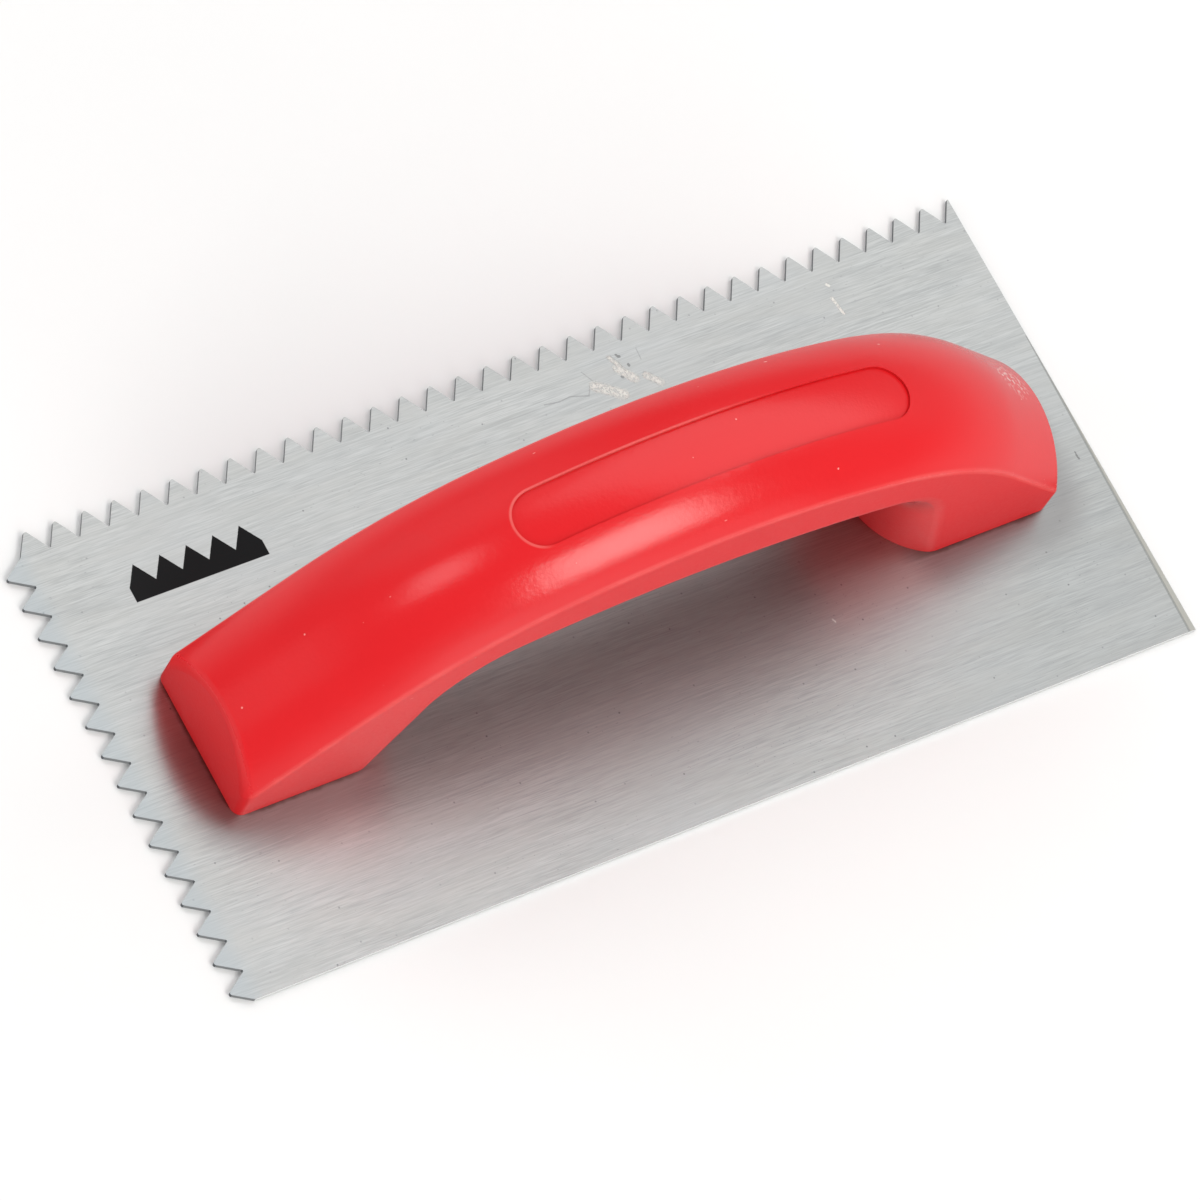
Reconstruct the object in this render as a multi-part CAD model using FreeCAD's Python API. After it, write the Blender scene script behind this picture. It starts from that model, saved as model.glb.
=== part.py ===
import FreeCAD, Part

import math
import os

from FreeCAD import Vector

# A notched trowel for spreading tile adhesive: a thin steel blade with V notches along one long
# edge and one short edge, a moulded plastic bridge handle, and four countersunk screws that hold
# the two together. Millimetres. The origin is the middle of the blade's underside, X runs along
# the blade away from its toothed short edge, Y points to its toothed long edge, Z is up.

# Blade
blade_length = 225.7
blade_width = 103.1
blade_thickness = 0.9
notch_pitch = 6.6
notch_mouth = 6.1
notch_depth = 4.87
long_edge_tips = 34       # the last one is a half tooth, cut by the plain short edge
short_edge_tips = 15
first_short_tip = 7.9     # from the tips of the long edge to the middle of the first short-edge tooth
tip_radius = 0.4
root_radius = 0.3
bevel_length = 70.0       # worn bevel on the plain short edge, growing towards its untoothed corner
bevel_width = 1.6
bevel_depth = 0.3

# Handle, heights above the top of the blade
handle_length = 191.6
handle_width = 32.6
handle_centre_x = 1.3
handle_centre_y = -0.6
crease_height = 54.1      # middle of the line where the side walls meet the crown
crown_rise = 8.0          # crown above that line, square to it
crease_radius = 1.2
saddle_radius = 140.0     # the crown along its length: saddle, shoulders, then straight to the ends
saddle_angle = 17.0
shoulder_radius = 80.0
end_slope = 45.7
end_edge_radius = 3.0
corner_radius = 2.2

# Arch under the grip, along the lower edge of the side walls
arch_height = 41.0
arch_radius = 215.0
arch_corner_radius = 23.0
arch_foot_x = 67.0
foot_draft = 17.0
arch_edge_radius = 5.0    # softens the shallow corner between the walls and the rounded underside
underside_rise = 10.6     # how far the rounded underside stands out from the side walls' edge

# Shallow panel in the crown
panel_length = 91.0
panel_offset = 2.6        # towards the plain end
panel_width = 11.9
panel_depth = 0.5

# Screws and the dimples that sink their heads into the blade
screw_x = 78.0
screw_y = 8.5
screw_length = 16.0
head_radius = 4.1
head_recess = 0.1
shank_radius = 2.1
core_radius = 1.5
thread_pitch = 1.6
thread_start = 1.2        # plain shank above the head
screw_point = 3.0
drive_radius = 2.3
drive_depth = 1.7
drive_slot = 1.0
dimple_wall = 0.8
dimple_clearance = 0.1
pilot_extra = 1.0

y_axis = Vector(0, 1, 0)
z_axis = Vector(0, 0, 1)


def corner_arc(before, corner, after, radius):
    """Tangent arc that rounds a corner, as its first, middle and last point."""
    to_before = (before - corner).normalize()
    to_after = (after - corner).normalize()
    half_angle = to_before.getAngle(to_after) / 2
    bisector = (to_before + to_after).normalize()
    setback = radius / math.tan(half_angle)
    centre = corner + bisector * (radius / math.sin(half_angle))
    return (corner + to_before * setback, centre - bisector * radius, corner + to_after * setback)


def rounded_wire(corners):
    """Closed wire through (point, radius) corners, with radius 0 for a sharp one."""
    stretches = []
    for index, (corner, radius) in enumerate(corners):
        before = corners[index - 1][0]
        after = corners[(index + 1) % len(corners)][0]
        if radius:
            stretches.append(corner_arc(before, corner, after, radius))
        else:
            stretches.append((corner, corner, corner))
    edges = []
    for index, (start, middle, end) in enumerate(stretches):
        if start != end:
            edges.append(Part.Arc(start, middle, end).toShape())
        next_start = stretches[(index + 1) % len(stretches)][0]
        edges.append(Part.LineSegment(end, next_start).toShape())
    return Part.Wire(edges)


def sweep(path, section):
    """Solid swept along a path in an XZ plane."""
    pipe = Part.BRepOffsetAPI.MakePipeShell(path)
    pipe.setBiNormalMode(y_axis)
    pipe.add(section, False, False)
    pipe.build()
    pipe.makeSolid()
    return pipe.shape()


def arc_run(centre, radius, start_angle, end_angle):
    """Arc in the XZ plane, with angles in degrees measured from +Z towards +X."""
    def at(angle):
        turn = math.radians(angle)
        return centre + Vector(math.sin(turn), 0, math.cos(turn)) * radius
    return Part.Arc(at(start_angle), at((start_angle + end_angle) / 2), at(end_angle)).toShape()


# ---------------------------------------------------------------- blade

def blade_outline():
    """Corners of the blade seen from above, clockwise from the root at the toothed corner."""
    right = blade_length / 2
    left = -blade_length / 2
    top = blade_width / 2
    bottom = -blade_width / 2
    half_land = (notch_pitch - notch_mouth) / 2
    half_pitch = notch_pitch / 2
    long_tip_x = [right - notch_pitch * k for k in reversed(range(long_edge_tips))]
    short_tip_y = [top - first_short_tip - notch_pitch * k for k in range(short_edge_tips)]

    corners = [(Vector(long_tip_x[0] - half_pitch, short_tip_y[0] + half_pitch, 0), root_radius)]
    for tip_x in long_tip_x[:-1]:
        corners.append((Vector(tip_x - half_land, top, 0), tip_radius))
        corners.append((Vector(tip_x + half_land, top, 0), tip_radius))
        corners.append((Vector(tip_x + half_pitch, top - notch_depth, 0), root_radius))
    corners.append((Vector(right - half_land, top, 0), 0))
    corners.append((Vector(right, top, 0), 0))
    corners.append((Vector(right, bottom, 0), 0))

    flank_slope = notch_depth / (notch_mouth / 2)
    last_flank = short_tip_y[-1] - half_land - bottom
    corners.append((Vector(left + last_flank * flank_slope, bottom, 0), 0))
    for tip_y in reversed(short_tip_y):
        corners.append((Vector(left, tip_y - half_land, 0), tip_radius))
        corners.append((Vector(left, tip_y + half_land, 0), tip_radius))
        if tip_y != short_tip_y[0]:
            corners.append((Vector(left + notch_depth, tip_y + half_pitch, 0), root_radius))
    return corners


def screw_places():
    """Node name and foot of each screw's axis."""
    places = {}
    for end, x in (("toothed_end", -screw_x), ("plain_end", screw_x)):
        for side, y in (("toothed_side", screw_y), ("plain_side", -screw_y)):
            places[f"screw_{end}_{side}"] = Vector(handle_centre_x + x, handle_centre_y + y, 0)
    return places


def seat_radius(height):
    """Radius of the 90 degree seat of a screw head at a height above the blade's underside."""
    return head_radius + head_recess - height


def dimple_top():
    """Height where the screw head's seat has narrowed to the shank."""
    return head_radius + head_recess - shank_radius


def dimple_cone(clearance):
    """The outside of one dimple, above the flat of the blade."""
    wall = dimple_wall * math.sqrt(2) + clearance
    height = dimple_top() - blade_thickness + clearance
    return Part.makeCone(
        seat_radius(blade_thickness) + wall,
        seat_radius(blade_thickness + height) + wall,
        height,
        Vector(0, 0, blade_thickness),
    )


def worn_bevel():
    """The sliver worn off the top of the plain short edge, a pyramid lying along that edge."""
    corner = Vector(blade_length / 2, -blade_width / 2, blade_thickness)
    foot = Part.makePolygon([
        corner,
        corner - Vector(bevel_width, 0, 0),
        corner - Vector(0, 0, bevel_depth),
        corner,
    ])
    return Part.makeLoft([foot, Part.Vertex(corner + Vector(0, bevel_length, 0))], True, True)


def make_blade():
    blade = Part.Face(rounded_wire(blade_outline())).extrude(Vector(0, 0, blade_thickness))
    blade = blade.cut(worn_bevel())
    seat = Part.makeCone(seat_radius(0), shank_radius, dimple_top())
    for place in screw_places().values():
        dimple = dimple_cone(0)
        dimple.translate(place)
        hole = seat.copy()
        hole.translate(place)
        blade = blade.fuse(dimple).cut(hole)
    return blade


# ---------------------------------------------------------------- handle

def crown_path():
    """The crease of the side walls from end to end, as saddle, shoulder arcs and straight ends."""
    saddle_centre = Vector(0, 0, crease_height - saddle_radius)
    turn = math.radians(saddle_angle)
    offset = saddle_radius - shoulder_radius
    shoulder = Vector(math.sin(turn) * offset, 0, saddle_centre.z + math.cos(turn) * offset)
    mirrored = Vector(-shoulder.x, 0, shoulder.z)
    slope = math.radians(end_slope)
    along = Vector(math.cos(slope), 0, -math.sin(slope))
    last = shoulder + Vector(math.sin(slope), 0, math.cos(slope)) * shoulder_radius
    end = last + along * (1.3 * (handle_length / 2 - last.x) / along.x)
    return Part.Wire([
        Part.LineSegment(Vector(-end.x, 0, end.z), Vector(-last.x, 0, last.z)).toShape(),
        arc_run(mirrored, shoulder_radius, -end_slope, -saddle_angle),
        arc_run(saddle_centre, saddle_radius, -saddle_angle, saddle_angle),
        arc_run(shoulder, shoulder_radius, saddle_angle, end_slope),
        Part.LineSegment(last, end).toShape(),
    ])


def crown_section(path, sink):
    """Side walls and domed crown in the plane square to the start of the path, sunk by an offset."""
    start = path.Edges[0]
    origin = start.valueAt(start.FirstParameter)
    tangent = start.tangentAt(start.FirstParameter)
    up = Vector(-tangent.z, 0, tangent.x)
    half = handle_width / 2
    depth = crease_height + crown_rise

    def at(y, rise):
        return origin + y_axis * y + up * (rise - sink)

    return Part.Wire([
        Part.LineSegment(at(-half, -depth), at(-half, 0)).toShape(),
        Part.Arc(at(-half, 0), at(0, crown_rise), at(half, 0)).toShape(),
        Part.LineSegment(at(half, 0), at(half, -depth)).toShape(),
        Part.LineSegment(at(half, -depth), at(-half, -depth)).toShape(),
    ])


def arch_path(below):
    """Lower edge of a side wall: foot, corner arc, arch, corner arc, foot, ending below the feet."""
    draft = math.radians(foot_draft)
    up_foot = Vector(-math.sin(draft), 0, math.cos(draft))
    foot = Vector(arch_foot_x, 0, 0)
    corner_from_line = Vector(-math.cos(draft), 0, -math.sin(draft)) * arch_corner_radius
    arch_centre = Vector(0, 0, arch_height - arch_radius)

    # The corner arc touches the foot's line and the arch: solve for how far up the foot it starts.
    gap = foot + corner_from_line - arch_centre
    reach = arch_radius - arch_corner_radius
    along = gap.dot(up_foot)
    rise = -along + math.sqrt(along ** 2 - gap.dot(gap) + reach ** 2)
    touch = foot + up_foot * rise
    corner_centre = touch + corner_from_line
    arch_angle = math.degrees(math.atan2(corner_centre.x, corner_centre.z - arch_centre.z))
    end = foot - up_foot * below
    mirrored = Vector(-corner_centre.x, 0, corner_centre.z)
    return Part.Wire([
        Part.LineSegment(Vector(-end.x, 0, end.z), Vector(-touch.x, 0, touch.z)).toShape(),
        arc_run(mirrored, arch_corner_radius, -90 + foot_draft, -arch_angle),
        arc_run(arch_centre, arch_radius, -arch_angle, arch_angle),
        arc_run(corner_centre, arch_corner_radius, arch_angle, 90 - foot_draft),
        Part.LineSegment(touch, end).toShape(),
    ])


def arch_void(path):
    """The space under the arch between two flat side walls."""
    edges = list(path.Edges)
    first = edges[0].valueAt(edges[0].FirstParameter)
    last = edges[-1].valueAt(edges[-1].LastParameter)
    closed = Part.Wire(edges + [Part.LineSegment(last, first).toShape()])
    closed.translate(y_axis * -handle_width)
    return Part.Face(closed).extrude(y_axis * 2 * handle_width)


def underside(path):
    """The rounded underside of the grip and inner faces of the feet, as a swept segment."""
    start = path.Edges[0]
    origin = start.valueAt(start.FirstParameter)
    tangent = start.tangentAt(start.FirstParameter)
    inward = Vector(tangent.z, 0, -tangent.x)
    half = handle_width / 2
    near = origin - y_axis * half
    far = origin + y_axis * half
    section = Part.Wire([
        Part.Arc(near, origin + inward * underside_rise, far).toShape(),
        Part.LineSegment(far, near).toShape(),
    ])
    return sweep(path, section)


def panel_cut(path, crown):
    """The thin layer that is missing from the crown inside the panel's capsule outline."""
    radius = panel_width / 2
    straight = panel_length / 2 - radius
    outline = Part.Wire([
        Part.LineSegment(Vector(-straight, -radius, 0), Vector(straight, -radius, 0)).toShape(),
        Part.Arc(Vector(straight, -radius, 0), Vector(straight + radius, 0, 0),
                 Vector(straight, radius, 0)).toShape(),
        Part.LineSegment(Vector(straight, radius, 0), Vector(-straight, radius, 0)).toShape(),
        Part.Arc(Vector(-straight, radius, 0), Vector(-straight - radius, 0, 0),
                 Vector(-straight, -radius, 0)).toShape(),
    ])
    outline.translate(Vector(panel_offset, 0, arch_height))
    prism = Part.Face(outline).extrude(z_axis * crease_height)
    floor = sweep(path, crown_section(path, panel_depth))
    return prism.common(crown).cut(floor)


def block_rounding(edge):
    """Radius for one edge of the plain block under the crown: ends, corners and creases."""
    box = edge.BoundBox
    if box.ZMax < 0.01:
        return 0
    if abs(abs(box.Center.x) - handle_length / 2) < 0.01 and box.XLength < 0.01:
        return corner_radius if box.YLength < 0.01 else end_edge_radius
    if abs(abs(box.Center.y) - handle_width / 2) < 0.01 and box.YLength < 0.01:
        return crease_radius
    return 0


def arch_rounding(edge):
    """Radius for one edge of the whole body: only where a side wall meets the arch."""
    box = edge.BoundBox
    on_wall = abs(abs(box.Center.y) - handle_width / 2) < 0.01 and box.YLength < 0.01
    on_arch = max(abs(box.XMin), abs(box.XMax)) < arch_foot_x + 0.01 and box.ZMax < arch_height + 0.01
    return arch_edge_radius if on_wall and on_arch and box.ZMax > 0.01 else 0


def round_edges(shape, rounding):
    """Fillet with a radius of its own for each edge, which only a document object offers."""
    document = FreeCAD.newDocument("rounding")
    sharp = document.addObject("Part::Feature", "Sharp")
    sharp.Shape = shape
    fillet = document.addObject("Part::Fillet", "Rounded")
    fillet.Base = sharp
    radii = [rounding(edge) for edge in shape.Edges]
    fillet.Edges = [(index, radius, radius) for index, radius in enumerate(radii, 1) if radius]
    document.recompute()
    rounded = fillet.Shape.copy()
    FreeCAD.closeDocument(document.Name)
    return rounded


def make_handle():
    path = crown_path()
    crown = sweep(path, crown_section(path, 0))
    block = Part.makeBox(handle_length, handle_width, 2 * crease_height,
                         Vector(-handle_length / 2, -handle_width / 2, 0))
    body = round_edges(crown.common(block), block_rounding)

    edge_path = arch_path(2 * underside_rise)
    rounded = underside(edge_path).common(block)
    body = body.cut(arch_void(edge_path)).fuse(rounded).removeSplitter()
    body = round_edges(body, arch_rounding)
    body = body.cut(panel_cut(path, crown)).removeSplitter()
    body.translate(Vector(handle_centre_x, handle_centre_y, blade_thickness))

    pilot_top = head_recess + screw_length + pilot_extra
    pilot = Part.makeCylinder(shank_radius, pilot_top)
    for place in screw_places().values():
        for tool in (pilot.copy(), dimple_cone(dimple_clearance)):
            tool.translate(place)
            body = body.cut(tool)
    return body


# ---------------------------------------------------------------- screws

def screw_profile():
    """Half section of a screw: head, plain shank, thread ridges and point, from the head up."""
    top = head_recess + screw_length
    points = [
        Vector(0, 0, head_recess),
        Vector(head_radius, 0, head_recess),
        Vector(shank_radius, 0, dimple_top()),
        Vector(shank_radius, 0, dimple_top() + thread_start),
    ]
    height = dimple_top() + thread_start
    while height + thread_pitch < top - screw_point:
        points.append(Vector(core_radius, 0, height + 0.25 * thread_pitch))
        points.append(Vector(core_radius, 0, height + 0.70 * thread_pitch))
        points.append(Vector(shank_radius, 0, height + 0.95 * thread_pitch))
        height += thread_pitch
        points.append(Vector(shank_radius, 0, height))
    points.append(Vector(core_radius, 0, height + 0.25 * thread_pitch))
    points.append(Vector(core_radius, 0, top - screw_point))
    points.append(Vector(0, 0, top))
    return points + points[:1]


def cross_drive():
    """Tapered cross recess in the screw's head."""
    taper = Part.makeCone(drive_radius, drive_radius / 3, drive_depth, Vector(0, 0, head_recess))
    slot = Part.makeBox(2 * drive_radius, drive_slot, drive_depth,
                        Vector(-drive_radius, -drive_slot / 2, head_recess))
    crossing = slot.copy()
    crossing.rotate(Vector(0, 0, 0), z_axis, 90)
    return taper.common(slot.fuse(crossing))


def make_screw():
    profile = Part.Face(Part.makePolygon(screw_profile()))
    screw = profile.revolve(Vector(0, 0, 0), z_axis, 360)
    return screw.cut(cross_drive())


# ---------------------------------------------------------------- files

os.makedirs("parts", exist_ok=True)
pieces = {"blade": make_blade(), "handle": make_handle()}
for name, place in screw_places().items():
    screw = make_screw()
    screw.translate(place)
    pieces[name] = screw
for name, piece in pieces.items():
    solid = piece.Solids[0]
    print(name, "solids", len(piece.Solids), "valid", piece.isValid(), "volume", round(solid.Volume, 1))
    solid.exportStep(f"parts/{name}.step")
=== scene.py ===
import math

import bpy
from mathutils import Matrix, Vector


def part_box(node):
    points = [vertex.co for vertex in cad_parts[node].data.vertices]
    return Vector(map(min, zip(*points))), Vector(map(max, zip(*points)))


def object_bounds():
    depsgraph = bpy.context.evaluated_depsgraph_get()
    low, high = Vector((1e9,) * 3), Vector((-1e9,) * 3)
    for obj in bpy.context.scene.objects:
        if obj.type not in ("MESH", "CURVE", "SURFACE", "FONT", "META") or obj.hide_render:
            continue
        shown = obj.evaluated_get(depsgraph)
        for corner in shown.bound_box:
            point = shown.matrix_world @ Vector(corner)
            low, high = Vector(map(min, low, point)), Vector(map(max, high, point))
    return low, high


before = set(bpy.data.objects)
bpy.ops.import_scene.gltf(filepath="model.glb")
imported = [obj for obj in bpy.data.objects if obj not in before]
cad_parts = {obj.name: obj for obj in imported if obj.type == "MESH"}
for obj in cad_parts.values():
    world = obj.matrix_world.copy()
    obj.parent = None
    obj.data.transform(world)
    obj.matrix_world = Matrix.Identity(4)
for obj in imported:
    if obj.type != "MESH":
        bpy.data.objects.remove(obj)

# Looks for a notched trowel: a brushed steel blade and a red moulded handle, held by zinc-plated
# screws. Lengths are metres in the part's own frame, unless a name or a comment says millimetres.

CAD_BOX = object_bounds()
HANDLE_BOX = [Vector(corner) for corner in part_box("handle")]
MM = 0.001

# Brushing marks on the blade: length and width in millimetres, and share of the whole pattern.
BRUSHING = ((5, 0.20, 0.36), (14, 0.32, 0.32), (45, 0.9, 0.18), (150, 8.0, 0.14))

# Marks on the top of the blade, in millimetres from its middle: start, end and width of each.
PLASTER_SMEARS = (((20.0, 39.8), (24.9, 36.2), 2.3), ((26.4, 41.8), (28.8, 38.6), 2.0),
                  ((31.4, 38.4), (33.6, 36.0), 1.6), ((26.0, 44.4), (27.2, 42.0), 1.0))
WHITE_SPECKS = (((77.5, 40.2), (78.1, 36.4), 0.7), ((78.0, 43.3), (78.3, 42.9), 0.7),
                ((41.0, -22.5), (41.3, -23.2), 0.25))
GOUGES = (((27.6, 44.5), (28.1, 44.0), 0.6), ((26.4, 39.9), (26.7, 39.6), 0.5),
          ((29.0, 41.8), (29.1, 41.5), 0.5), ((109.0, -9.6), (109.0, -8.2), 0.4))
SCRATCHES = (((18.9, 43.6), (21.2, 39.0), 0.22), ((32.4, 44.5), (32.2, 41.9), 0.20),
             ((8.0, 39.8), (11.4, 39.3), 0.30), ((11.4, 39.3), (13.9, 39.6), 0.26),
             ((13.9, 39.6), (17.8, 38.4), 0.30), ((17.8, 38.4), (19.4, 40.8), 0.24))

# The worn bevel on the plain short edge starts at the plain corner. A line of dirt follows its
# inner edge.
PLAIN_CORNER_MM = (CAD_BOX[1][0] / MM, CAD_BOX[0][1] / MM)
BEVEL_WIDTH_MM = 1.6
BEVEL_LENGTH_MM = 70.0
BEVEL_LINE_MM = 0.55

# The shallow panel in the handle's crown, a little nearer the plain end than the handle's middle.
PANEL_OFFSET_MM = 2.6
HANDLE_MIDDLE_MM = (HANDLE_BOX[0] + HANDLE_BOX[1]) / 2 / MM
PANEL_CENTRE = (HANDLE_MIDDLE_MM.x + PANEL_OFFSET_MM, HANDLE_MIDDLE_MM.y)
PANEL_LENGTH_MM = 91.0
PANEL_WIDTH_MM = 11.9

# Printed pictogram of the blade's own notches: a bar with teeth on top, in millimetres.
PICTOGRAM_CENTRE = (-76, 32)
PICTOGRAM_LENGTH_MM = 30
PICTOGRAM_BAR_MM = 3.2
PICTOGRAM_TOOTH_MM = 4.4
PICTOGRAM_TEETH = 5

# How far the finishes reach, in metres: where the darker bands end, and how far from the feet.
FILM_WIDTH = 7.5 * MM
FILM_SOLID_WIDTH = 2.5 * MM
# Where the painted shade along the handle's feet starts along X, and how wide it is.
FEET_START_X = 60 * MM
FEET_FULL_X = 70 * MM
CONTACT_SHADE_WIDTH = 1.1 * MM
FEET_SHADE_WIDTH = 13 * MM
FEET_SHADE_SOLID_WIDTH = 4 * MM
FOOTPRINT_ROUNDING = 4.5 * MM
CREASE_INNER = 0.8 * MM
CREASE_OUTER = 0.3 * MM

# ---------------------------------------------------------------- shader building blocks

class Shader:
    """A material's node tree, with short calls for the nodes that repeat."""

    def __init__(self, name):
        self.material = bpy.data.materials.new(name)
        self.material.use_nodes = True
        self.tree = self.material.node_tree
        self.tree.nodes.clear()
        self.surface = self.tree.nodes.new("ShaderNodeBsdfPrincipled")
        output = self.tree.nodes.new("ShaderNodeOutputMaterial")
        self.tree.links.new(self.surface.outputs["BSDF"], output.inputs["Surface"])
        self.place = self.tree.nodes.new("ShaderNodeTexCoord").outputs["Object"]

    def feed(self, socket, value):
        """Link an output, or set a plain number, colour or vector."""
        if isinstance(value, bpy.types.NodeSocket):
            self.tree.links.new(value, socket)
        else:
            socket.default_value = value

    def math(self, operation, a, b=0.0, c=0.0):
        node = self.tree.nodes.new("ShaderNodeMath")
        node.operation = operation
        for socket, value in zip(node.inputs, (a, b, c)):
            self.feed(socket, value)
        return node.outputs[0]

    def vector(self, operation, a, b=(0.0, 0.0, 0.0)):
        node = self.tree.nodes.new("ShaderNodeVectorMath")
        node.operation = operation
        self.feed(node.inputs[0], a)
        self.feed(node.inputs[1], b)
        return node.outputs["Value"] if operation in ("LENGTH", "DOT_PRODUCT") else node.outputs[0]

    def split(self, vector):
        node = self.tree.nodes.new("ShaderNodeSeparateXYZ")
        self.feed(node.inputs[0], vector)
        return node.outputs

    def join(self, x, y, z):
        node = self.tree.nodes.new("ShaderNodeCombineXYZ")
        for socket, value in zip(node.inputs, (x, y, z)):
            self.feed(socket, value)
        return node.outputs[0]

    def surface_normal(self, kind):
        """X, Y and Z of the surface's own direction, "Normal" or "True Normal"."""
        return self.split(self.tree.nodes.new("ShaderNodeNewGeometry").outputs[kind])

    def cells(self, size_mm, shift=(0.0, 0.0, 0.0), place=None):
        """Coordinates counted in cells of a size in millimetres along each axis."""
        scaled = self.vector("MULTIPLY", place or self.place, [1 / (s * MM) for s in size_mm])
        return self.vector("ADD", scaled, shift)

    def noise(self, coordinates, detail=2.0, roughness=0.5):
        node = self.tree.nodes.new("ShaderNodeTexNoise")
        node.inputs["Scale"].default_value = 1.0
        node.inputs["Detail"].default_value = detail
        node.inputs["Roughness"].default_value = roughness
        self.feed(node.inputs["Vector"], coordinates)
        return node.outputs["Fac"]

    def spots(self, coordinates, radius, share, soft=0.35, flat=False):
        """Round spots, one in a share of the cells, with a radius in cells; flat ignores Z."""
        node = self.tree.nodes.new("ShaderNodeTexVoronoi")
        node.voronoi_dimensions = "2D" if flat else "3D"
        node.inputs["Scale"].default_value = 1.0
        self.feed(node.inputs["Vector"], coordinates)
        chosen = self.math("LESS_THAN", self.split(node.outputs["Color"])[0], share)
        disc = self.step(node.outputs["Distance"], radius * (1 + soft), radius * (1 - soft))
        return self.math("MULTIPLY", chosen, disc)

    def step(self, value, start, end):
        """0 up to start and 1 from end, smooth between; start may be above end."""
        node = self.tree.nodes.new("ShaderNodeMapRange")
        node.interpolation_type = "SMOOTHSTEP"
        low, high = (start, end) if start < end else (end, start)
        rising = (0.0, 1.0) if start < end else (1.0, 0.0)
        self.feed(node.inputs["Value"], value)
        names = ("From Min", "From Max", "To Min", "To Max")
        for name, number in zip(names, (low, high) + rising):
            node.inputs[name].default_value = number
        return node.outputs["Result"]

    def mix(self, factor, a, b):
        node = self.tree.nodes.new("ShaderNodeMix")
        node.data_type = "RGBA"
        for socket, value in zip((node.inputs[0], node.inputs[6], node.inputs[7]), (factor, a, b)):
            self.feed(socket, value)
        return node.outputs[2]

    def range(self, value, low, high):
        """A 0 to 1 value stretched between two numbers."""
        return self.math("MULTIPLY_ADD", value, high - low, low)

    def patch(self, centre, radius):
        """1 at a place, fading to 0 at an ellipsoid around it; both in millimetres."""
        scaled = self.cells(radius)
        centred = self.vector("SUBTRACT", scaled, [c / r for c, r in zip(centre, radius)])
        return self.step(self.vector("LENGTH", centred), 1.0, 0.2)

    def strip(self, start, end, width, ragged=0.0):
        """1 along a line between two places seen from above, in millimetres, with a ragged edge."""
        first = Vector((*start, 0.0))
        run = Vector((*end, 0.0)) - first
        flat = self.vector("MULTIPLY", self.place, (1 / MM, 1 / MM, 0.0))
        offset = self.vector("SUBTRACT", flat, first)
        share = self.math("DIVIDE", self.vector("DOT_PRODUCT", offset, run), run.length_squared)
        share = self.math("MINIMUM", self.math("MAXIMUM", share, 0.0), 1.0)
        on_line = self.vector("MULTIPLY", self.join(share, share, share), run)
        gap = self.vector("LENGTH", self.vector("SUBTRACT", offset, on_line))
        gap = self.math("ADD", gap, ragged)
        return self.step(gap, width * 0.62, width * 0.38)

    def strips(self, lines, ragged=0.0):
        """1 on any of several lines, each a start, an end and a width."""
        total = 0.0
        for start, end, width in lines:
            total = self.math("MAXIMUM", self.strip(start, end, width, ragged), total)
        return total

    def bump(self, height, depth):
        """Bump from a 0 to 1 height that stands for a depth in metres."""
        node = self.tree.nodes.new("ShaderNodeBump")
        node.inputs["Distance"].default_value = depth
        self.feed(node.inputs["Height"], height)
        self.feed(self.surface.inputs["Normal"], node.outputs["Normal"])


# ---------------------------------------------------------------- blade steel

def brushing(s):
    """Streaks of several lengths along X that wander a little, from 0 to 1."""
    x, y, z = s.split(s.place)
    wander = s.noise(s.cells((48, 30, 30), (4.2, 8.8, 0.0)), detail=1.0)
    bent = s.join(x, s.math("ADD", y, s.range(wander, -0.7 * MM, 0.7 * MM)), z)
    streaks = 0.0
    for index, (length, width, share) in enumerate(BRUSHING):
        shift = (3.7 * index, 5.3 * index, 0.0)
        layer = s.noise(s.cells((length, width, 20), shift, bent), detail=2.0, roughness=0.55)
        streaks = s.math("MULTIPLY_ADD", layer, share, streaks)
    return streaks


def footprint_gap(s, x, y):
    """Distance on the blade from the outline of the handle's feet, a rounded rectangle."""
    low, high = HANDLE_BOX
    outside = []
    for place, near, far in ((x, low.x, high.x), (y, low.y, high.y)):
        from_middle = s.math("ABSOLUTE", s.math("SUBTRACT", place, (near + far) / 2))
        outside.append(s.math("SUBTRACT", from_middle, (far - near) / 2 - FOOTPRINT_ROUNDING))
    corner = s.vector("MAXIMUM", s.join(outside[0], outside[1], 0.0), (0.0, 0.0, 0.0))
    return s.math("SUBTRACT", s.vector("LENGTH", corner), FOOTPRINT_ROUNDING)


def pictogram(s):
    """1 on the printed bar and its row of triangular teeth, slightly worn."""
    x, y = s.split(s.cells((1, 1, 1), (-PICTOGRAM_CENTRE[0], -PICTOGRAM_CENTRE[1], 0.0)))[:2]
    pitch = PICTOGRAM_LENGTH_MM / PICTOGRAM_TEETH
    across = s.math("PINGPONG", s.math("ADD", x, PICTOGRAM_LENGTH_MM / 2), pitch / 2)
    top = s.math("MULTIPLY_ADD", across, PICTOGRAM_TOOTH_MM / (pitch / 2), PICTOGRAM_BAR_MM / 2)
    wear = s.range(s.noise(s.cells((0.8, 0.5, 0.5)), detail=2.0), -0.10, 0.10)
    inside = s.math("SUBTRACT", s.math("ADD", top, wear), y)
    inside = s.math("MINIMUM", inside, s.math("ADD", y, PICTOGRAM_BAR_MM / 2))
    from_end = s.math("SUBTRACT", PICTOGRAM_LENGTH_MM / 2, s.math("ABSOLUTE", x))
    inside = s.math("MINIMUM", inside, from_end)
    return s.step(inside, -0.05, 0.08)


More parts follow.
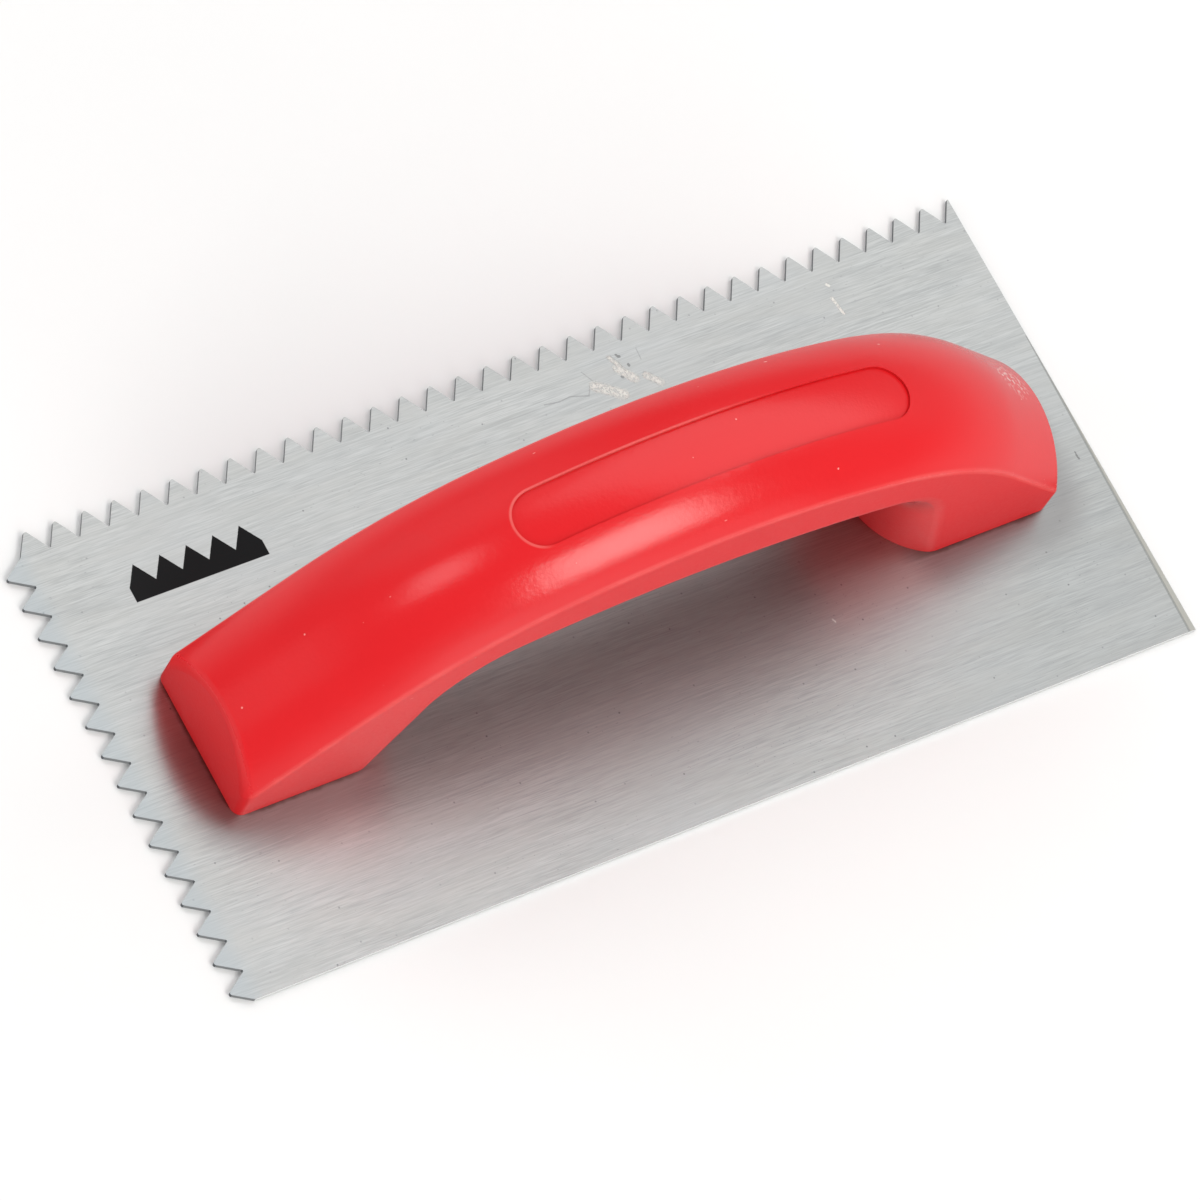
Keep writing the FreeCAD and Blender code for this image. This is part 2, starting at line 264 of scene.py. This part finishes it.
def blade_steel():
    """Steel sheet brushed along its length, with pits, scratches, dried plaster and a pictogram."""
    s = Shader("brushed_blade_steel")
    x, y, z = s.split(s.place)
    streaks = brushing(s)
    cloud = s.noise(s.cells((34, 24, 40), (1.7, 5.3, 0.0)), detail=3.0)
    tint = s.noise(s.cells((22, 5, 20), (6.1, 2.9, 0.0)), detail=3.0)

    colour = s.mix(s.step(streaks, 0.36, 0.64), (0.335, 0.345, 0.343, 1), (0.500, 0.510, 0.505, 1))
    colour = s.mix(s.range(s.step(cloud, 0.35, 0.75), 0.0, 0.5), colour, (0.440, 0.452, 0.456, 1))
    colour = s.mix(s.range(s.step(tint, 0.35, 0.70), 0.0, 0.4), colour, (0.430, 0.432, 0.418, 1))

    # Painted shade: the steel is darker towards the plain corner and under the grip.
    painted_shade_corner = s.math("MULTIPLY", s.patch((110, -40, 0), (190, 75, 60)), 0.24)
    painted_shade_under_grip = s.math("MULTIPLY", s.patch((-6, -24, 0), (72, 30, 60)), 0.26)
    colour = s.mix(s.math("ADD", painted_shade_corner, painted_shade_under_grip), colour, (0.18, 0.19, 0.19, 1))

    dark_line = s.step(s.noise(s.cells((26, 0.45, 6), (5.5, 1.3, 0.0)), detail=1.0), 0.66, 0.80)
    colour = s.mix(s.math("MULTIPLY", dark_line, 0.30), colour, (0.28, 0.29, 0.30, 1))
    worn = s.step(s.noise(s.cells((30, 20, 30), (2.4, 6.6, 0.0)), detail=2.0), 0.42, 0.62)
    dashes = s.spots(s.cells((4.5, 1.3, 1.3), (0.8, 0.3, 0.0)), 0.060, 0.10, flat=True)
    pits = s.spots(s.cells((6.5, 6.5, 6.5)), 0.030, 0.34, flat=True)
    small_pits = s.spots(s.cells((2.6, 2.6, 2.6), (0.4, 0.7, 0.0)), 0.040, 0.25, flat=True)
    marks = s.math("MAXIMUM", s.math("MULTIPLY", pits, 0.65), s.math("MULTIPLY", small_pits, 0.35))
    marks = s.math("MAXIMUM", marks, s.math("MULTIPLY", dashes, 0.35))
    marks = s.math("MULTIPLY", marks, s.range(worn, 0.3, 1.0))
    colour = s.mix(marks, colour, (0.10, 0.10, 0.11, 1))

    # The punched teeth of the short edge keep a bluish oil film.
    end_x = CAD_BOX[0][0]
    film = s.step(x, end_x + FILM_WIDTH, end_x + FILM_SOLID_WIDTH)
    colour = s.mix(s.math("MULTIPLY", film, 0.45), colour, (0.36, 0.41, 0.44, 1))

    # Punched edges are duller and darker than the brushed faces.
    facing = s.surface_normal("True Normal")
    flat = s.step(s.math("ABSOLUTE", facing[2]), 0.35, 0.80)
    # Painted highlight: the plain long edge, facing -Y, is pale and partly matt so that it shows
    # bright.
    lit_long_edge = s.step(facing[1], -0.80, -0.95)
    colour = s.mix(flat, s.mix(lit_long_edge, (0.16, 0.17, 0.18, 1), (0.80, 0.81, 0.81, 1)), colour)

    # The worn bevel on the plain short edge is a matt, warmer grey, with dirt along its inner edge.
    bevel = s.math("MULTIPLY", s.step(facing[0], 0.06, 0.12), flat)
    colour = s.mix(bevel, colour, (0.43, 0.43, 0.395, 1))
    corner_x, corner_y = PLAIN_CORNER_MM
    bevel_start = (corner_x - BEVEL_WIDTH_MM, corner_y)
    bevel_end = (corner_x, corner_y + BEVEL_LENGTH_MM)
    bevel_dirt = s.strips([(bevel_start, bevel_end, BEVEL_LINE_MM)])
    bevel_dirt = s.math("MULTIPLY", bevel_dirt, flat)
    colour = s.mix(s.math("MULTIPLY", bevel_dirt, 0.55), colour, (0.20, 0.21, 0.20, 1))

    # Painted shade on the blade along the feet of the handle: a dark line at their edge and a
    # broader darker band towards -Y.
    unevenness = s.range(s.noise(s.cells((2.4, 2.4, 2.4))), -0.5 * MM, 0.5 * MM)
    gap = s.math("ADD", footprint_gap(s, x, y), unevenness)
    by_foot = s.step(s.math("ABSOLUTE", x), FEET_START_X, FEET_FULL_X)
    contact_shade = s.math("MULTIPLY", s.step(gap, CONTACT_SHADE_WIDTH, 0.0), by_foot)
    feet_shade = s.math("MULTIPLY", s.step(gap, FEET_SHADE_WIDTH, FEET_SHADE_SOLID_WIDTH), by_foot)
    feet_shade = s.math("MULTIPLY", feet_shade, s.step(y, 12 * MM, -4 * MM))
    colour = s.mix(s.math("MULTIPLY", feet_shade, 0.65), colour, (0.22, 0.21, 0.21, 1))
    colour = s.mix(s.math("MULTIPLY", contact_shade, 0.75), colour, (0.09, 0.055, 0.05, 1))

    # Plaster smears are ragged and streaked, and only lie on the top face.
    crumbs = s.noise(s.cells((0.55, 0.55, 0.55), (0.0, 2.0, 0.0)), detail=4.0, roughness=0.7)
    top = s.step(z, 0.7 * MM, 0.85 * MM)
    ragged = s.range(crumbs, -1.1, 1.1)
    plaster = s.math("MULTIPLY", s.strips(PLASTER_SMEARS, ragged), top)
    specks = s.math("MULTIPLY", s.strips(WHITE_SPECKS, s.range(crumbs, -0.4, 0.4)), top)
    patchy = s.range(s.step(crumbs, 0.42, 0.56), 0.35, 1.0)
    plaster = s.math("MULTIPLY", s.math("MAXIMUM", plaster, specks), patchy)
    gouges = s.math("MULTIPLY", s.strips(GOUGES, s.range(crumbs, -0.5, 0.5)), top)
    scratches = s.math("MULTIPLY", s.strips(SCRATCHES, s.range(crumbs, -0.15, 0.15)), top)
    colour = s.mix(s.math("MULTIPLY", scratches, 0.45), colour, (0.20, 0.20, 0.20, 1))
    colour = s.mix(s.math("MULTIPLY", gouges, 0.65), colour, (0.12, 0.12, 0.12, 1))
    colour = s.mix(plaster, colour, (0.80, 0.81, 0.76, 1))

    ink = s.math("MULTIPLY", pictogram(s), top)
    colour = s.mix(ink, colour, (0.022, 0.023, 0.024, 1))

    roughness = s.range(streaks, 0.26, 0.32)
    roughness = s.math("ADD", roughness, s.math("MULTIPLY", s.math("MAXIMUM", ink, plaster), 0.25))
    # The painted highlight on the plain long edge is partly matt.
    bright_edge = s.math("MULTIPLY", lit_long_edge, s.math("SUBTRACT", 1.0, flat))
    matt_edge = s.math("MAXIMUM", bright_edge, bevel)
    matt = s.math("MAXIMUM", plaster, s.math("MULTIPLY", matt_edge, 0.7))
    s.feed(s.surface.inputs["Base Color"], colour)
    s.feed(s.surface.inputs["Roughness"], roughness)
    s.feed(s.surface.inputs["Metallic"], s.math("SUBTRACT", 1.0, matt))
    s.surface.inputs["Anisotropic"].default_value = 0.75
    s.feed(s.surface.inputs["Tangent"], s.vector("NORMALIZE", (0.0, 1.0, 0.0)))
    scoring = s.noise(s.cells((12, 0.30, 8), (6.2, 1.9, 0.0)), detail=1.0)
    s.bump(s.math("MULTIPLY_ADD", plaster, 20.0, scoring), 0.0015 * MM)
    return s.material


# ---------------------------------------------------------------- handle plastic

def panel_rim_highlight(s):
    """1 on the rim of the panel in the crown where a highlight is painted, on its toothed side and
    its left end.
    """
    half_straight = (PANEL_LENGTH_MM - PANEL_WIDTH_MM) / 2
    x, y, z = s.split(s.cells((1, 1, 1), (-PANEL_CENTRE[0], -PANEL_CENTRE[1], 0.0)))
    past_straight = s.math("MAXIMUM", s.math("SUBTRACT", s.math("ABSOLUTE", x), half_straight), 0.0)
    from_spine = s.vector("LENGTH", s.join(past_straight, y, 0.0))
    outside = s.math("SUBTRACT", from_spine, PANEL_WIDTH_MM / 2 + 0.2)
    line = s.step(s.math("ABSOLUTE", outside), 0.42, 0.10)
    left_end = s.step(x, -half_straight, -half_straight - 4.0)
    lit_side = s.math("MAXIMUM", s.step(y, 1.0, 5.0), left_end)
    lit_side = s.math("MULTIPLY", lit_side, s.step(x, 20.0, -10.0))
    return s.math("MULTIPLY", s.math("MULTIPLY", line, lit_side), s.step(z, 42.0, 44.0))


def handle_plastic():
    """Satin red moulded plastic with a fine grain, faint flow marks, dust and a few scuffs."""
    s = Shader("moulded_red_plastic")
    grain = s.noise(s.cells((0.7, 0.7, 0.7)), detail=3.0, roughness=0.6)
    orange_peel = s.noise(s.cells((1.6, 1.6, 1.6), (3.0, 1.0, 2.0)), detail=1.0)
    flow = s.noise(s.cells((42, 16, 16), (2.0, 0.5, 4.0)), detail=2.0)
    colour = s.mix(flow, (0.645, 0.009, 0.013, 1), (0.690, 0.013, 0.017, 1))

    # Painted shade: the underside of the grip is darker.
    facing = s.surface_normal("Normal")
    underside_shade = s.math("MULTIPLY", s.step(facing[2], -0.15, -0.55), s.range(flow, 0.7, 1.0))
    colour = s.mix(s.math("MULTIPLY", underside_shade, 0.65), colour, (0.20, 0.025, 0.022, 1))

    # Rubbed skin on the shoulder of the plain end, pale and grainy.
    rub = s.patch((89, 3, 27), (11, 6, 9))
    rub = s.math("MULTIPLY", rub, s.step(s.noise(s.cells((0.9, 0.9, 0.9)), detail=3.0), 0.53, 0.62))
    colour = s.mix(s.math("MULTIPLY", rub, 0.90), colour, (0.94, 0.70, 0.66, 1))

    # Painted highlight: the creases between the crown and the side walls are paler.
    low, high = HANDLE_BOX
    off_middle = s.math("ABSOLUTE", s.math("SUBTRACT", s.split(s.place)[1], (low.y + high.y) / 2))
    half_width = (high.y - low.y) / 2
    near_wall = s.step(off_middle, half_width - CREASE_INNER, half_width - CREASE_OUTER)
    crease_highlight = s.math("MULTIPLY", near_wall, s.step(facing[2], 0.05, 0.20))
    crease_highlight = s.math("MULTIPLY", crease_highlight, s.range(s.noise(s.cells((9, 3, 3)), detail=3.0), 0.1, 0.9))
    colour = s.mix(s.math("MULTIPLY", crease_highlight, 0.22), colour, (0.92, 0.34, 0.30, 1))
    # Painted highlight on the panel's rim.
    rim_highlight = s.math("MULTIPLY", panel_rim_highlight(s), s.range(s.noise(s.cells((14, 14, 14))), 0.3, 1.0))
    colour = s.mix(s.math("MULTIPLY", rim_highlight, 0.36), colour, (0.95, 0.36, 0.32, 1))

    dust = s.spots(s.cells((4.2, 4.2, 4.2)), 0.045, 0.13)
    lint = s.spots(s.cells((9.0, 3.2, 3.2), (0.3, 0.2, 0.9)), 0.050, 0.12)
    pale_specks = s.math("MULTIPLY", s.math("MAXIMUM", dust, lint), 0.6)
    colour = s.mix(pale_specks, colour, (0.92, 0.55, 0.50, 1))
    soot = s.spots(s.cells((3.4, 3.4, 3.4), (0.6, 0.1, 0.5)), 0.036, 0.16)
    colour = s.mix(s.math("MULTIPLY", soot, 0.55), colour, (0.22, 0.02, 0.02, 1))

    # The palm polishes the upper faces, and the steep walls keep the mould's texture.
    polish = s.step(s.math("ABSOLUTE", facing[2]), 0.20, 0.55)
    roughness = s.math("SUBTRACT", s.range(grain, 0.34, 0.48), s.math("MULTIPLY", polish, 0.19))
    s.feed(s.surface.inputs["Base Color"], colour)
    s.feed(s.surface.inputs["Roughness"], roughness)
    s.surface.inputs["IOR"].default_value = 1.49
    s.bump(s.math("MULTIPLY_ADD", orange_peel, 0.5, grain), 0.032 * MM)
    return s.material


# ---------------------------------------------------------------- screw zinc

def screw_zinc():
    """Bright zinc plate with a slight mottle."""
    s = Shader("zinc_plated_screw")
    mottle = s.noise(s.cells((1.2, 1.2, 1.2)), detail=3.0)
    turned = s.noise(s.cells((0.5, 0.5, 0.15)), detail=1.0)
    colour = s.mix(mottle, (0.52, 0.53, 0.54, 1), (0.78, 0.77, 0.73, 1))
    s.feed(s.surface.inputs["Base Color"], colour)
    s.feed(s.surface.inputs["Roughness"], s.range(turned, 0.22, 0.40))
    s.surface.inputs["Metallic"].default_value = 1.0
    s.bump(turned, 0.01 * MM)
    return s.material


def dress(node, material):
    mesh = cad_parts[node].data
    mesh.materials.clear()
    mesh.materials.append(material)


def dress_all():
    dress("blade", blade_steel())
    dress("handle", handle_plastic())
    zinc = screw_zinc()
    for node in sorted(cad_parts):
        if node.startswith("screw"):
            dress(node, zinc)


# ---------------------------------------------------------------- stage, light and camera

def direction(azimuth, elevation):
    """Unit vector at an azimuth from +X and an elevation above the floor, in degrees."""
    a = math.radians(azimuth)
    e = math.radians(elevation)
    return Vector((math.cos(a) * math.cos(e), math.sin(a) * math.cos(e), math.sin(e)))


def make_floor():
    half = 3.0
    height = -0.0002
    square = ((-half, -half), (half, -half), (half, half), (-half, half))
    corners = [(x, y, height) for x, y in square]
    mesh = bpy.data.meshes.new("floor")
    mesh.from_pydata(corners, [], [(0, 1, 2, 3)])
    floor = bpy.data.objects.new("floor", mesh)
    bpy.context.scene.collection.objects.link(floor)
    s = Shader("pale_floor")
    tone = s.noise(s.cells((90, 90, 90)), detail=3.0)
    colour = s.mix(tone, (0.79, 0.79, 0.79, 1), (0.82, 0.82, 0.82, 1))
    s.feed(s.surface.inputs["Base Color"], colour)
    s.surface.inputs["Roughness"].default_value = 0.9
    mesh.materials.append(s.material)
    floor.visible_glossy = False


def softbox(name, azimuth, elevation, distance, width, height, radiance):
    """Rectangular soft light aimed at the part, given the brightness of its face, not its power."""
    light = bpy.data.lights.new(name, "AREA")
    light.shape = "RECTANGLE"
    light.size = width
    light.size_y = height
    light.energy = radiance * math.pi * width * height
    lamp = bpy.data.objects.new(name, light)
    bpy.context.scene.collection.objects.link(lamp)
    towards = direction(azimuth, elevation)
    lamp.location = towards * distance
    lamp.rotation_euler = towards.to_track_quat("Z", "Y").to_euler()
    return lamp


# Soft fills around the part that only lift the matt surfaces: azimuth, elevation, brightness.
FILLS = ((175, 6, 2.9), (-95, 14, 2.2), (5, 14, 1.6), (100, 32, 2.4))


def make_light():
    world = bpy.data.worlds.new("studio")
    world.use_nodes = True
    nodes = world.node_tree.nodes
    links = world.node_tree.links
    height = nodes.new("ShaderNodeSeparateXYZ")
    links.new(nodes.new("ShaderNodeTexCoord").outputs["Generated"], height.inputs[0])
    below = nodes.new("ShaderNodeMapRange")
    links.new(height.outputs[2], below.inputs["Value"])
    below.inputs["From Min"].default_value = 0.15
    below.inputs["From Max"].default_value = -0.10
    below.inputs["To Min"].default_value = 0.22
    below.inputs["To Max"].default_value = 0.56
    nodes["Background"].inputs["Color"].default_value = (1.0, 1.0, 1.0, 1)
    links.new(below.outputs["Result"], nodes["Background"].inputs["Strength"])
    bpy.context.scene.world = world
    key = softbox("key_softbox", -75, 48, 1.2, 0.55, 0.55, 6.6)
    key.data.color = (1.0, 0.98, 0.94)
    softbox("back_softbox", 26, 56, 1.6, 1.7, 1.3, 1.29)
    softbox("left_softbox", 165, 61, 1.2, 0.40, 0.36, 2.8)
    softbox("side_softbox", -80, 4, 1.6, 1.6, 1.2, 0.8)
    for azimuth, elevation, radiance in FILLS:
        fill = softbox(f"fill_{azimuth}", azimuth, elevation, 1.5, 1.2, 1.2, radiance)
        fill.visible_glossy = False


def make_camera():
    """Long lens from beyond the toothed short edge, rolled so that the blade rises to the right."""
    azimuth = 210.04
    elevation = 57.397
    roll = 34.859
    distance = 1.77244
    target = Vector((-0.00195, -0.00161, 0.0))
    lens_mm = 272.95

    back = direction(azimuth, elevation)
    camera = bpy.data.cameras.new("camera")
    camera.sensor_width = 36.0
    camera.lens = lens_mm
    camera.clip_start = 0.05
    camera.clip_end = 20.0
    holder = bpy.data.objects.new("camera", camera)
    bpy.context.scene.collection.objects.link(holder)
    level = back.to_track_quat("Z", "Y").to_matrix().to_4x4()
    turn = Matrix.Rotation(math.radians(roll), 4, "Z")
    holder.matrix_world = Matrix.Translation(target + back * distance) @ level @ turn
    bpy.context.scene.camera = holder


dress_all()
make_floor()
make_light()
make_camera()
bpy.context.scene.view_settings.view_transform = "Standard"
